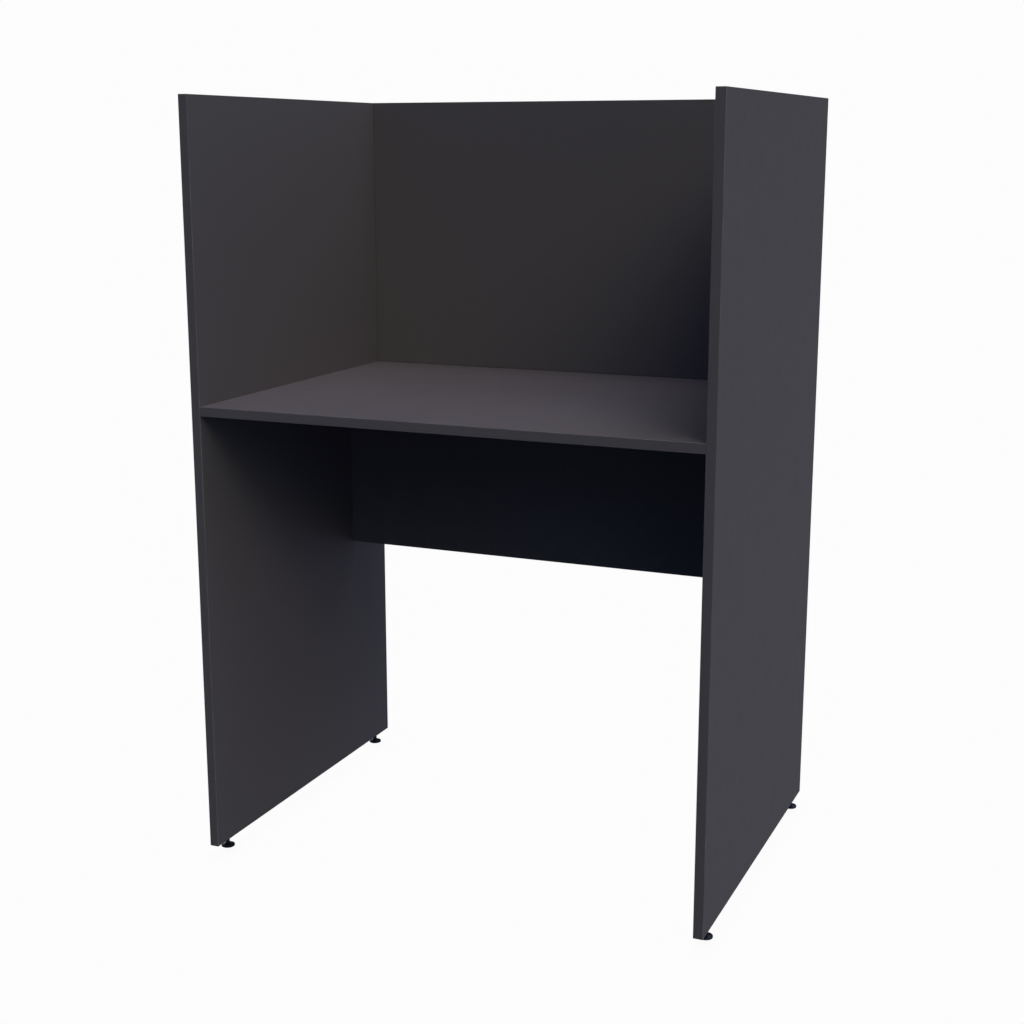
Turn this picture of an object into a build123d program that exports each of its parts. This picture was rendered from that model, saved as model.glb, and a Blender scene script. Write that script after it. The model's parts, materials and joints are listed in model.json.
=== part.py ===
from build123d import *
import os

# A free-standing study carrel of edge-banded 15 mm boards. Millimetres, +Z up, front towards -Y.
# The origin is on the floor, midway between the side panels and midway front to back.

# Overall size
width = 830.0  # over the outer faces of the side panels
depth = 600.0
height = 1200.0
board = 15.0  # thickness of every board
foot_gap = 15.0  # floor to the bottom edge of the side panels
worktop_height = 737.0  # floor to the top of the worktop
modesty_bottom = 419.5  # floor to the bottom edge of the modesty panel
modesty_setback = 110.0  # rear edge of the carrel to the rear face of the modesty panel
overcut = 1.0  # how far a cutter runs past the face it opens
fit = 0.05  # radial clearance of a piece in its drilled hole

# Edge bands
band = 1.0
band_arris = 0.8  # rounding of a band's two long outer edges

# Cam locks: a bolt screwed into one board, and a cam in the next board that pulls on its head
cam_radius = 7.5
cam_height = 12.0
cam_pocket_depth = 12.5
cam_reach = 34.0  # face of the joint to the cam's axis
cam_cross_length = 9.0
cam_cross_width = 1.6
cam_cross_depth = 1.8
cam_centre_radius = 2.0  # round hole at the middle of the driver cross
cam_centre_depth = 2.2
bolt_thread_radius = 2.5
bolt_thread_length = 11.0
bolt_collar_radius = 3.75
bolt_collar_length = 1.5
bolt_shank_radius = 3.0
bolt_bore_radius = 4.0
bolt_neck_radius = 2.0
bolt_neck_start = 25.0  # face of the joint to the end of the shank
bolt_head_radius = 3.5
bolt_head_start = 31.5
bolt_head_end = 34.5
bolt_chamfer = 0.5
bolt_room = 0.3  # clearance round the bolt's neck and head inside the cam

# Cover caps over the cam pockets
cap_radius = 8.75
cap_thickness = 1.2
cap_round = 0.5
cap_spigot_radius = 1.8
cap_spigot_length = 2.0

# Dowels
dowel_radius = 4.0
dowel_in_face = 11.0  # length held by the board whose face is drilled
dowel_in_edge = 19.0  # length held by the board whose edge is drilled
dowel_chamfer = 1.0
drill_relief = 0.5  # a hole is this much deeper than the piece in it

# Where the cam locks and dowels sit along each joint
worktop_cam_y = 230.0
worktop_dowel_y = 198.0
upright_cam_inset = 63.0  # edge of the back or modesty panel to its cam lock
upright_dowel_inset = 95.0
row_cam_x = 200.0  # along the joints with the worktop
row_dowel_x = 300.0

# Levelling feet
foot_y = 260.0  # front and rear feet, from the middle
pad_radius = 11.0
pad_rim = 2.8  # height of the upright rim
pad_shoulder_radius = 5.6  # where the cone meets the boss
pad_shoulder = 4.8
pad_boss_radius = 4.6
pad_height = 6.0
pad_round = 0.6
pad_chamfer = 0.5
socket_floor = 2.0
stud_radius = 3.0
stud_top = 35.0
stud_chamfer = 0.6
groove_radius = 2.6  # the pad's lip snaps into this groove, so the stud turns and the pad doesn't
groove_bottom = 3.5
groove_top = 4.5
groove_play = 0.1
flat_half_width = 2.5  # two flats for a spanner
flat_bottom = 6.4
flat_top = 9.4
insert_radius = 4.75
insert_length = 15.0
insert_barbs = 5
insert_barb_depth = 0.4
stud_room_radius = 3.5  # bore above the insert
stud_room_top = 47.0

# Planes of the boards
outer_x = width / 2
inner_x = outer_x - board
rear_y = depth / 2
front_y = -rear_y
worktop_under = worktop_height - board
worktop_mid_z = worktop_height - board / 2
back_front_y = rear_y - board
back_mid_y = rear_y - board / 2
modesty_rear_y = rear_y - modesty_setback
modesty_front_y = modesty_rear_y - board
modesty_mid_y = modesty_rear_y - board / 2
foot_x = outer_x - board / 2
standing = (Align.CENTER, Align.CENTER, Align.MIN)


# ---------------------------------------------------------------- shapes

def slab(x, y, z):
    """A box between the (low, high) values given for each axis."""
    size = [high - low for low, high in (x, y, z)]
    middle = [(high + low) / 2 for low, high in (x, y, z)]
    return Pos(*middle) * Box(*size)


def post(radius, bottom, top):
    """An upright cylinder on the local Z axis."""
    return Pos(0, 0, bottom) * Cylinder(radius, top - bottom, align=standing)


def rod(radius, start, end):
    """A cylinder on the local X axis."""
    return Rot(0, 90, 0) * post(radius, start, end)


def turned(outline):
    """A solid of revolution about the local Z axis, from (radius, height) points."""
    return revolve(Plane.XZ * make_face(Polyline(*outline, close=True)), Axis.Z)


def copies(piece, frames):
    """The same piece in each frame, as separate solids."""
    return Compound([frame.location * piece for frame in frames])


def edge_band(x, y, z, face_axis, highest):
    """A band whose two long outer edges are rounded.

    The outer face is the highest or the lowest one along face_axis.
    """
    strip = slab(x, y, z)
    outer_face = strip.faces().sort_by(face_axis)[-1 if highest else 0]
    long_edges = outer_face.edges().sort_by(SortBy.LENGTH)[-2:]
    return fillet(long_edges, band_arris)


# ---------------------------------------------------------------- joint hardware
# Each piece is made in the frame of its joint: the origin is on the joint's face at the middle
# of the board that holds the cam, +X runs into that board, and +Z out of the cam's pocket.

pocket_floor = board / 2 - cam_pocket_depth
cam_top = pocket_floor + cam_height


def make_cam_bolt():
    tip = bolt_thread_radius - bolt_chamfer
    head_rim = bolt_head_radius - bolt_chamfer
    outline = [
        (0, -bolt_thread_length),
        (tip, -bolt_thread_length),
        (bolt_thread_radius, bolt_chamfer - bolt_thread_length),
        (bolt_thread_radius, 0),
        (bolt_collar_radius, 0),
        (bolt_collar_radius, bolt_collar_length),
        (bolt_shank_radius, bolt_collar_length),
        (bolt_shank_radius, bolt_neck_start),
        (bolt_neck_radius, bolt_neck_start),
        (bolt_neck_radius, bolt_head_start),
        (bolt_head_radius, bolt_head_start),
        (bolt_head_radius, bolt_head_end - bolt_chamfer),
        (head_rim, bolt_head_end),
        (0, bolt_head_end),
    ]
    return Rot(0, 90, 0) * turned(outline)


def make_cam():
    cross_z = (cam_top - cam_cross_depth, cam_top + overcut)
    arm = (-cam_cross_length / 2, cam_cross_length / 2)
    narrow = (-cam_cross_width / 2, cam_cross_width / 2)
    driver_cross = slab(arm, narrow, cross_z) + slab(narrow, arm, cross_z)
    centre_hole = post(cam_centre_radius, cam_top - cam_centre_depth, cam_top + overcut)
    body = post(cam_radius, pocket_floor, cam_top) - driver_cross - centre_hole
    neck_slot = rod(bolt_neck_radius + bolt_room, cam_reach - cam_radius - overcut, bolt_head_start)
    head_room = rod(bolt_head_radius + bolt_room, bolt_head_start - bolt_room, bolt_head_end + bolt_room)
    return Pos(cam_reach, 0, 0) * body - neck_slot - head_room


def make_cam_cap():
    flange = post(cap_radius, board / 2, board / 2 + cap_thickness)
    flange = fillet(flange.edges().group_by(Axis.Z)[-1], cap_round)
    spigot = post(cap_spigot_radius, board / 2 - cap_spigot_length, board / 2)
    return Pos(cam_reach, 0, 0) * (flange + spigot)


def make_dowel():
    dowel = rod(dowel_radius, -dowel_in_face, dowel_in_edge)
    return chamfer(dowel.edges().filter_by(GeomType.CIRCLE), dowel_chamfer)


def cam_board_cut():
    """The cam's pocket and the bolt's bore, drilled in the board that holds the cam."""
    pocket = Pos(cam_reach, 0, 0) * post(cam_radius + fit, pocket_floor, board / 2 + overcut)
    return pocket + rod(bolt_bore_radius, -overcut, cam_reach)


def bolt_board_cut():
    """The hole that the bolt's thread is screwed into."""
    return rod(bolt_thread_radius + fit, -bolt_thread_length - drill_relief, overcut)


def dowel_edge_cut():
    return rod(dowel_radius + fit, -overcut, dowel_in_edge + drill_relief)


def dowel_face_cut():
    return rod(dowel_radius + fit, -dowel_in_face - drill_relief, overcut)


# ---------------------------------------------------------------- joint frames

to_rear = (0, 1, 0)
to_floor = (0, 0, -1)
upward = (0, 0, 1)


def end_frames(points, pocket_mouth):
    """Frames at both ends of a board, where it meets the side panels at these (y, z) points."""
    return [
        Plane(origin=(side * inner_x, y, z), x_dir=(-side, 0, 0), z_dir=pocket_mouth)
        for side in (-1, 1)
        for y, z in points
    ]


def row_frames(stations, y, z, into_board):
    """Frames in a row along X, where an upright board meets the worktop."""
    return [Plane(origin=(x, y, z), x_dir=into_board, z_dir=to_rear) for x in stations]


def upright_points(y, bottom, top, inset):
    """The upper and the lower joint point on the end of an upright board."""
    return [(y, bottom + inset), (y, top - inset)]


worktop_cams = end_frames([(y, worktop_mid_z) for y in (-worktop_cam_y, worktop_cam_y)], to_floor)
worktop_dowels = end_frames([(y, worktop_mid_z) for y in (-worktop_dowel_y, worktop_dowel_y)], to_floor)

back_span = (back_mid_y, worktop_height, height)
back_end_cams = end_frames(upright_points(*back_span, upright_cam_inset), to_rear)
back_end_dowels = end_frames(upright_points(*back_span, upright_dowel_inset), to_rear)
back_row_cams = row_frames((-row_cam_x, row_cam_x), back_mid_y, worktop_height, upward)
back_row_dowels = row_frames((-row_dowel_x, 0, row_dowel_x), back_mid_y, worktop_height, upward)

modesty_span = (modesty_mid_y, modesty_bottom, worktop_under)
modesty_end_cams = end_frames(upright_points(*modesty_span, upright_cam_inset), to_rear)
modesty_end_dowels = end_frames(upright_points(*modesty_span, upright_dowel_inset), to_rear)
modesty_row_cams = row_frames((-row_cam_x, row_cam_x), modesty_mid_y, worktop_under, to_floor)
modesty_row_dowels = row_frames((-row_dowel_x, 0, row_dowel_x), modesty_mid_y, worktop_under, to_floor)

side_panel_bolts = worktop_cams + back_end_cams + modesty_end_cams
side_panel_dowels = worktop_dowels + back_end_dowels + modesty_end_dowels
foot_places = {
    "front_left": (-foot_x, -foot_y),
    "front_right": (foot_x, -foot_y),
    "rear_left": (-foot_x, foot_y),
    "rear_right": (foot_x, foot_y),
}


# ---------------------------------------------------------------- levelling feet
# Each piece is made about the foot's own axis, with the floor at height 0.

def make_foot_pad():
    """A pad with a conical top, a boss, and a lip inside the boss that holds the stud."""
    lip = groove_radius + fit
    bore = stud_radius + fit
    outline = [
        (0, 0),
        (pad_radius - pad_chamfer, 0),
        (pad_radius, pad_chamfer),
        (pad_radius, pad_rim),
        (pad_shoulder_radius, pad_shoulder),
        (pad_boss_radius, pad_height),
        (bore, pad_height),
        (bore, groove_top - groove_play),
        (lip, groove_top - groove_play),
        (lip, groove_bottom + groove_play),
        (bore, groove_bottom + groove_play),
        (bore, socket_floor),
        (0, socket_floor),
    ]
    pad = turned(outline)
    rim_edge = pad.edges().filter_by_position(Axis.Z, pad_rim, pad_rim)
    return fillet(rim_edge, pad_round)


def make_foot_stud():
    """A threaded stud with a snap groove at its foot and two spanner flats above the pad."""
    outline = [
        (0, socket_floor),
        (stud_radius - stud_chamfer, socket_floor),
        (stud_radius, socket_floor + stud_chamfer),
        (stud_radius, groove_bottom),
        (groove_radius, groove_bottom),
        (groove_radius, groove_top),
        (stud_radius, groove_top),
        (stud_radius, stud_top - stud_chamfer),
        (stud_radius - stud_chamfer, stud_top),
        (0, stud_top),
    ]
    stud = turned(outline)
    across = (-stud_radius - overcut, stud_radius + overcut)
    past_flat = (flat_half_width, stud_radius + overcut)
    flat_cut = slab(across, past_flat, (flat_bottom, flat_top))
    return stud - flat_cut - mirror(flat_cut, Plane.XZ)


def make_foot_insert():
    """A barbed sleeve, pressed into the bottom edge of a side panel."""
    bore = stud_radius + fit
    pitch = insert_length / insert_barbs
    outline = [(bore, foot_gap)]
    for barb in range(insert_barbs):
        bottom = foot_gap + barb * pitch
        outline.append((insert_radius, bottom))
        outline.append((insert_radius - insert_barb_depth, bottom + pitch))
    outline.append((bore, foot_gap + insert_length))
    return turned(outline)


def foot_bore():
    """The drilled hole for the insert, and the narrower one above it for the stud."""
    for_insert = post(insert_radius + fit, foot_gap - overcut, foot_gap + insert_length)
    return for_insert + post(stud_room_radius, foot_gap + insert_length, stud_room_top)


def at_feet(piece):
    """The same piece at all four feet, as separate solids."""
    return Compound([Pos(x, y, 0) * piece for x, y in foot_places.values()])


# ---------------------------------------------------------------- boards and their bands

pieces = {}


def add_side_panel(name, x):
    """A side panel's core and the bands on its four edges."""
    inside_y = (front_y + band, rear_y - band)
    core = slab(x, inside_y, (foot_gap + band, height - band))
    core -= copies(bolt_board_cut(), side_panel_bolts)
    core -= copies(dowel_face_cut(), side_panel_dowels)
    pieces[name] = core - at_feet(foot_bore())
    full_z = (foot_gap, height)
    pieces[name + "_front_band"] = edge_band(x, (front_y, front_y + band), full_z, Axis.Y, False)
    pieces[name + "_rear_band"] = edge_band(x, (rear_y - band, rear_y), full_z, Axis.Y, True)
    pieces[name + "_top_band"] = edge_band(x, inside_y, (height - band, height), Axis.Z, True)
    bottom_band = edge_band(x, inside_y, (foot_gap, foot_gap + band), Axis.Z, False)
    pieces[name + "_bottom_band"] = bottom_band - at_feet(foot_bore())


def add_worktop():
    across = (-inner_x, inner_x)
    thickness = (worktop_under, worktop_height)
    core = slab(across, (front_y + band, rear_y - band), thickness)
    core -= copies(cam_board_cut(), worktop_cams)
    core -= copies(dowel_edge_cut(), worktop_dowels)
    core -= copies(bolt_board_cut(), back_row_cams + modesty_row_cams)
    core -= copies(dowel_face_cut(), back_row_dowels + modesty_row_dowels)
    pieces["worktop"] = core
    pieces["worktop_front_band"] = edge_band(across, (front_y, front_y + band), thickness, Axis.Y, False)
    pieces["worktop_rear_band"] = edge_band(across, (rear_y - band, rear_y), thickness, Axis.Y, True)


def add_back_panel():
    """The back panel stands on the worktop, so only its top edge is banded."""
    across = (-inner_x, inner_x)
    thickness = (back_front_y, rear_y)
    core = slab(across, thickness, (worktop_height, height - band))
    core -= copies(cam_board_cut(), back_end_cams + back_row_cams)
    core -= copies(dowel_edge_cut(), back_end_dowels + back_row_dowels)
    pieces["back_panel"] = core
    pieces["back_panel_top_band"] = edge_band(across, thickness, (height - band, height), Axis.Z, True)


def add_modesty_panel():
    """The modesty panel hangs under the worktop, so only its bottom edge is banded."""
    across = (-inner_x, inner_x)
    thickness = (modesty_front_y, modesty_rear_y)
    banded = (modesty_bottom, modesty_bottom + band)
    core = slab(across, thickness, (modesty_bottom + band, worktop_under))
    core -= copies(cam_board_cut(), modesty_end_cams + modesty_row_cams)
    core -= copies(dowel_edge_cut(), modesty_end_dowels + modesty_row_dowels)
    pieces["modesty_panel"] = core
    pieces["modesty_panel_bottom_band"] = edge_band(across, thickness, banded, Axis.Z, False)


def add_joint_hardware(name, cam_frames, dowel_frames):
    """The cam locks, caps and dowels that fasten one board."""
    pieces[name + "_cams"] = copies(make_cam(), cam_frames)
    pieces[name + "_cam_bolts"] = copies(make_cam_bolt(), cam_frames)
    pieces[name + "_cam_caps"] = copies(make_cam_cap(), cam_frames)
    pieces[name + "_dowels"] = copies(make_dowel(), dowel_frames)


def add_feet():
    pieces["foot_inserts"] = at_feet(make_foot_insert())
    for name, (x, y) in foot_places.items():
        pieces[name + "_foot_pad"] = Pos(x, y, 0) * make_foot_pad()
        pieces[name + "_foot_stud"] = Pos(x, y, 0) * make_foot_stud()


add_side_panel("left_side_panel", (-outer_x, -inner_x))
add_side_panel("right_side_panel", (inner_x, outer_x))
add_worktop()
add_back_panel()
add_modesty_panel()
add_joint_hardware("worktop", worktop_cams, worktop_dowels)
add_joint_hardware("back_panel", back_end_cams + back_row_cams, back_end_dowels + back_row_dowels)
add_joint_hardware("modesty_panel", modesty_end_cams + modesty_row_cams, modesty_end_dowels + modesty_row_dowels)
add_feet()

os.makedirs("parts", exist_ok=True)
for piece_name, shape in pieces.items():
    export_step(shape, f"parts/{piece_name}.step")
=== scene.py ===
import json
import math

import bmesh
import bpy
from mathutils import Euler, Matrix, Vector

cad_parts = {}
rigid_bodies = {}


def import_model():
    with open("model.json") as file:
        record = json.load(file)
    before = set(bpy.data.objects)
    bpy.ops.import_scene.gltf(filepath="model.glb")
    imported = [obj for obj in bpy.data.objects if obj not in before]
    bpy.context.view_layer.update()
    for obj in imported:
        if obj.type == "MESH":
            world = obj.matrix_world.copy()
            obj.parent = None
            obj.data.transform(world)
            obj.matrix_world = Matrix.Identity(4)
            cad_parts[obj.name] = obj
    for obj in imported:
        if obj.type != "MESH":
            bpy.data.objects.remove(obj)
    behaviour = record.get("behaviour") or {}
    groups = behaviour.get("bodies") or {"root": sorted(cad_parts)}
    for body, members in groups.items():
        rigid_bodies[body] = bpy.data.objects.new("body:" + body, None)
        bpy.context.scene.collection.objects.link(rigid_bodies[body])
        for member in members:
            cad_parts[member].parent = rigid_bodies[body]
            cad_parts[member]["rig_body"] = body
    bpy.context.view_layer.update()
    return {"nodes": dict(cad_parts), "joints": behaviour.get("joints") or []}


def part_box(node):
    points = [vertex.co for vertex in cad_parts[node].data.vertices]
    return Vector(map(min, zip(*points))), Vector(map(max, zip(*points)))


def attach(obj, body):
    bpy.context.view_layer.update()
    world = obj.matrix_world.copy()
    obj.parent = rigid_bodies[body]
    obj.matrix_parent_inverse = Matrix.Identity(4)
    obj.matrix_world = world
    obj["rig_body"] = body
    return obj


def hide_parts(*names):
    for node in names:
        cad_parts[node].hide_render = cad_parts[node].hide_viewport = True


# Looks of the study carrel. Metres, +Z up, front towards -Y, the feet standing at height 0.
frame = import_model()

MM = 0.001
WELD = 0.0005 * MM  # points closer than this are one point
SHARP = math.radians(35)  # a steeper edge than this isn't smoothed over
SORT_DIGITS = 4  # boxes are put in order to a tenth of a millimetre
COPY_SHIFT = Vector((0.0, 0.0, 0.1))  # from one copy of a solid to the next, in its finish only

# Edge bands
BAND_ARRIS = 0.8 * MM
BAND_ARRIS_STEPS = 5
GLUE_GROOVE = 0.1 * MM  # chamfer where a band meets its board

# Turned and moulded pieces
COLUMNS = 64  # faces round a turned piece
ARC_STEPS = 5
LEAST_SINE = 0.01  # keeps a flat's reach finite where it runs along the radius

# Threads: shares of a pitch that the root, each flank and the crest of an outer thread take up
THREAD_ROOT = 0.16
THREAD_FLANK = 0.31
THREAD_CREST = 0.22
HOLE_FLANK = 0.26  # each flank of a hole's thread, and its crest too
THREAD_LEAD = 2  # pitches of points beyond each end, to be pressed onto its plane

# Cam bolts, along their own axis from the face of the joint
BOLT_TIP = -11.0 * MM
BOLT_THREAD_END = -0.6 * MM
BOLT_THREAD_RADIUS = 2.5 * MM
BOLT_ROOT_RADIUS = 1.9 * MM
BOLT_PITCH = 1.75 * MM
BOLT_COLLAR_RADIUS = 3.75 * MM
BOLT_COLLAR_END = 1.5 * MM
BOLT_SHANK_RADIUS = 3.0 * MM
BOLT_NECK_RADIUS = 2.0 * MM
BOLT_NECK_START = 25.0 * MM
BOLT_HEAD_START = 31.5 * MM
BOLT_HEAD_END = 34.5 * MM
BOLT_HEAD_RADIUS = 3.5 * MM
BOLT_EASE = 0.35 * MM

# Cover caps, outward from the board's face
CAP_RADIUS = 8.75 * MM
CAP_FOOT_EASE = 0.1 * MM
CAP_RIM = 0.85 * MM
CAP_CROWN = 1.2 * MM
CAP_ROUND = 0.5 * MM
CAP_SPIGOT_END = -2.0 * MM
CAP_SPIGOT_REACH = 1.75 * MM
CAP_SPIGOT_ARM = 0.65 * MM  # half the width of one arm of the cross-shaped spigot
CAP_SPIGOT_EASE = 0.3 * MM
CAP_GATE_RADIUS = 0.9 * MM  # the mark where the mould was filled
CAP_GATE_TAPER = 0.9  # the bottom of that mark, as a share of its radius
CAP_GATE_DEPTH = 0.08 * MM
CAP_DOME = ((0.80, 0.45), (0.55, 0.80), (0.30, 0.97))  # shares of the radius and of the crown's rise

# Dowels, along their own axis from the middle
DOWEL_RADIUS = 4.0 * MM
DOWEL_HALF_LENGTH = 15.0 * MM
DOWEL_CHAMFER = 1.0 * MM
DOWEL_FLUTES = 16
DOWEL_FLUTE_DEPTH = 0.35 * MM
DOWEL_COLUMNS = 96

# Levelling feet, upward from the floor
PAD_RADIUS = 11.0 * MM
PAD_FOOT_ROUND = 0.5 * MM
PAD_RECESS_RADIUS = 8.0 * MM
PAD_RECESS_DEPTH = 0.4 * MM
PAD_RIM = 2.8 * MM
PAD_RIM_ROUND = 0.6 * MM
PAD_SHOULDER_RADIUS = 5.6 * MM
PAD_SHOULDER = 4.8 * MM
PAD_BOSS_RADIUS = 4.6 * MM
PAD_BOSS_ROUND = 0.3 * MM
PAD_HEIGHT = 6.0 * MM
PAD_BORE = 3.05 * MM
PAD_LIP = 2.65 * MM
SOCKET_FLOOR = 2.0 * MM
GROOVE_BOTTOM = 3.5 * MM
GROOVE_TOP = 4.5 * MM
GROOVE_PLAY = 0.1 * MM
GROOVE_RADIUS = 2.6 * MM
STUD_RADIUS = 3.0 * MM
STUD_ROOT_RADIUS = 2.4 * MM
STUD_PITCH = 1.0 * MM
STUD_TOP = 35.0 * MM
STUD_CHAMFER = 0.6 * MM
FLAT_HALF_WIDTH = 2.5 * MM
FLAT_BOTTOM = 6.4 * MM
FLAT_TOP = 9.4 * MM
THREAD_START = 10.0 * MM

# Foot inserts, whose thread is in step with the studs'
INSERT_BOTTOM = 15.0 * MM
INSERT_TOP = 30.0 * MM
INSERT_RADIUS = 4.75 * MM
INSERT_BARBS = 5
INSERT_BARB_DEPTH = 0.4 * MM
INSERT_RIDGES = 24
INSERT_RIDGE_DEPTH = 0.2 * MM
INSERT_COLUMNS = 192
INSERT_LEAD = 3.0 * MM  # plain bore below the thread
INSERT_ROOT_RADIUS = 3.1 * MM
INSERT_CREST_RADIUS = 2.6 * MM
INSERT_EASE = 0.3 * MM
BORE_RADIUS = 4.8 * MM
BORE_OVERCUT = 1.0 * MM

# Colours, as linear red, green and blue
GRAPHITE = (0.058, 0.055, 0.062)
GRAPHITE_BAND = (0.066, 0.063, 0.071)
GRAPHITE_WORN = (0.125, 0.12, 0.126)
CHIPBOARD_LIGHT = (0.50, 0.36, 0.22)
CHIPBOARD_DARK = (0.24, 0.16, 0.09)
MOULDED_BLACK = (0.004, 0.006, 0.011)
MOULDED_SCUFF = (0.016, 0.019, 0.028)
MOULDED_SHEEN = (0.45, 0.62, 1.0)
BLACK_ZINC = (0.012, 0.014, 0.022)
BLACK_ZINC_WORN = (0.09, 0.09, 0.10)
BARE_STEEL = (0.50, 0.49, 0.47)
ZINC = (0.42, 0.43, 0.45)
BIRCH_LIGHT = (0.66, 0.49, 0.30)
BIRCH_DARK = (0.48, 0.32, 0.17)
WHITE = (0.98, 0.98, 0.98)

# Patterns in the finishes: features to the metre, and the factors that stretch or squash them
BOARD_DRIFT = 2.3
BOARD_CLOUD = 26.0
BOARD_FLECK = 520.0
BOARD_PEARL = 900.0
BOARD_SMUDGE = 8.5
SCRATCHES = 7.0
SCRATCH_PATCHES = 11.0
SCRATCH_STRETCH = 11.0  # how much longer the scratches run along a board than across it
SCRATCH_WIDTH = 0.002  # as a difference in the noise whose contour lines they are
CHIPS = 330.0
CHIP_SQUASH = (1.0, 2.2, 1.6)
CHIP_GRAIN = 900.0
BAND_DRAW_LINES = 1500.0
BAND_DRAW_STRETCH = (1.0, 1.0, 0.012)
BAND_CLOUD = 30.0
BAND_FLECK = 700.0
BAND_RUB = 22.0
MOULD_FLOW = 160.0
MOULD_FLOW_STRETCH = (1.0, 1.0, 3.0)
MOULD_RUB = 900.0
METAL_BLOOM = 420.0
METAL_RUB = 700.0
CAST_GRAIN = 1600.0
CAST_BLOOM = 260.0
BIRCH_FIBRE = 1400.0
BIRCH_FIBRE_STRETCH = (1.0, 1.0, 0.05)
BIRCH_RINGS = 300.0
BIRCH_RING_STRETCH = (1.0, 0.4, 0.03)
BIRCH_PORES = 2600.0
BIRCH_PORE_STRETCH = (1.0, 1.0, 0.08)

# Depths of the relief, and how strongly the boards reflect
BOARD_RELIEF = 0.10 * MM
BAND_RELIEF = 0.04 * MM
MOULD_RELIEF = 0.02 * MM
CAST_RELIEF = 0.03 * MM
BIRCH_RELIEF = 0.05 * MM
BOARD_SHINE = 0.4

PAPER_DEPTH = 0.35 * MM  # the decorative skin of a board, over its chipboard core
PAPER_FADE = 1.2  # the core shows fully at this many times that depth
SEAM_WIDTH = 3.0 * MM  # painted shade, with a little dust, darkens a board this close to where it butts against another
SEAM_PAINTED_SHADE = 0.7  # the painted shade, as a share of the board's own tone, right at the seam

# Camera
CAMERA_PLACE = (0.998, -2.373, 1.127)
CAMERA_TILT = math.radians(77.27)
CAMERA_TURN = math.radians(23.0)
CAMERA_LENS = 57.13  # millimetres, on a sensor 36 mm wide
CAMERA_SENSOR = 36.0


def longest_axis(size):
    return max(range(3), key=lambda axis: size[axis])


def thinnest_axis(size):
    return min(range(3), key=lambda axis: size[axis])


# ---------------------------------------------------------------- shader nodes

class Nodes:
    """Fills one node tree. Inputs are numbers, colours or other nodes' outputs."""

    def __init__(self, tree):
        self.tree = tree
        tree.nodes.clear()

    def add(self, kind, inputs=None, output=0, **settings):
        """Adds a node and returns one of its outputs, if it has any."""
        node = self.tree.nodes.new("ShaderNode" + kind)
        for name, value in settings.items():
            setattr(node, name, value)
        for key, value in (inputs or {}).items():
            if isinstance(value, bpy.types.NodeSocket):
                self.tree.links.new(value, node.inputs[key])
            else:
                node.inputs[key].default_value = value
        return node.outputs[output] if node.outputs else None

    def maths(self, operation, *values, clamp=False):
        return self.add("Math", dict(enumerate(values)), operation=operation, use_clamp=clamp)

    def vectors(self, operation, *values, output=0):
        return self.add("VectorMath", dict(enumerate(values)), output, operation=operation)

    def scaled(self, vector, factor):
        return self.add("VectorMath", {"Vector": vector, "Scale": factor}, operation="SCALE")

    def attribute(self, name, output):
        return self.add("Attribute", None, output, attribute_name=name)

    def noise(self, place, scale, detail=2.0, roughness=0.5):
        """Smooth noise, 0 to 1, with about `scale` features to the metre."""
        inputs = {"Vector": place, "Scale": scale, "Detail": detail, "Roughness": roughness}
        return self.add("TexNoise", inputs)

    def cells(self, place, scale):
        """Distance to the nearest of many scattered points, `scale` of them to the metre."""
        return self.add("TexVoronoi", {"Vector": place, "Scale": scale}, feature="F1")

    def stretched(self, place, factors):
        """The place with each axis multiplied, which squashes a pattern along the axis by that factor."""
        return self.vectors("MULTIPLY", place, factors)

    def ramp(self, value, low, high, to_low=0.0, to_high=1.0):
        """The value eased from low..high to to_low..to_high, and clamped."""
        inputs = {0: value, 1: low, 2: high, 3: to_low, 4: to_high}
        return self.add("MapRange", inputs, interpolation_type="SMOOTHSTEP")

    def mix(self, share, first, second):
        """A blend of two colours, or of two numbers given as outputs."""
        return self.add("MixRGB", {"Fac": share, "Color1": solid(first), "Color2": solid(second)})

    def around(self, middle, spread, value):
        """The middle, give or take half the spread, as the value goes from 0 to 1."""
        return self.maths("MULTIPLY_ADD", value, spread, middle - spread / 2)

    def tone(self, *sways):
        """A brightness about 1 that follows each (spread, value) in turn."""
        total = None
        for spread, value in sways:
            share = self.around(1.0, spread, value)
            total = self.maths("MULTIPLY", total, share) if total else share
        return total


def solid(colour):
    """A colour with full alpha, or an output as it is."""
    return colour if isinstance(colour, bpy.types.NodeSocket) else (*colour, 1.0)


class Finish(Nodes):
    """One material: its nodes, and the surface that they end in."""

    def __init__(self, name):
        self.material = bpy.data.materials.new(name)
        self.material.use_nodes = True
        super().__init__(self.material.node_tree)

    def surface(self, colour, roughness, height, depth, **more):
        """The surface, whose relief is height (0 to 1) times depth in metres."""
        bump = {"Height": height, "Distance": depth, "Strength": 1.0}
        inputs = {
            "Base Color": colour,
            "Roughness": roughness,
            "Normal": self.add("Bump", bump),
        }
        inputs.update({name.replace("_", " "): value for name, value in more.items()})
        shader = self.add("BsdfPrincipled", inputs)
        self.add("OutputMaterial", {"Surface": shader})
        return self.material


# ---------------------------------------------------------------- materials

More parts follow.
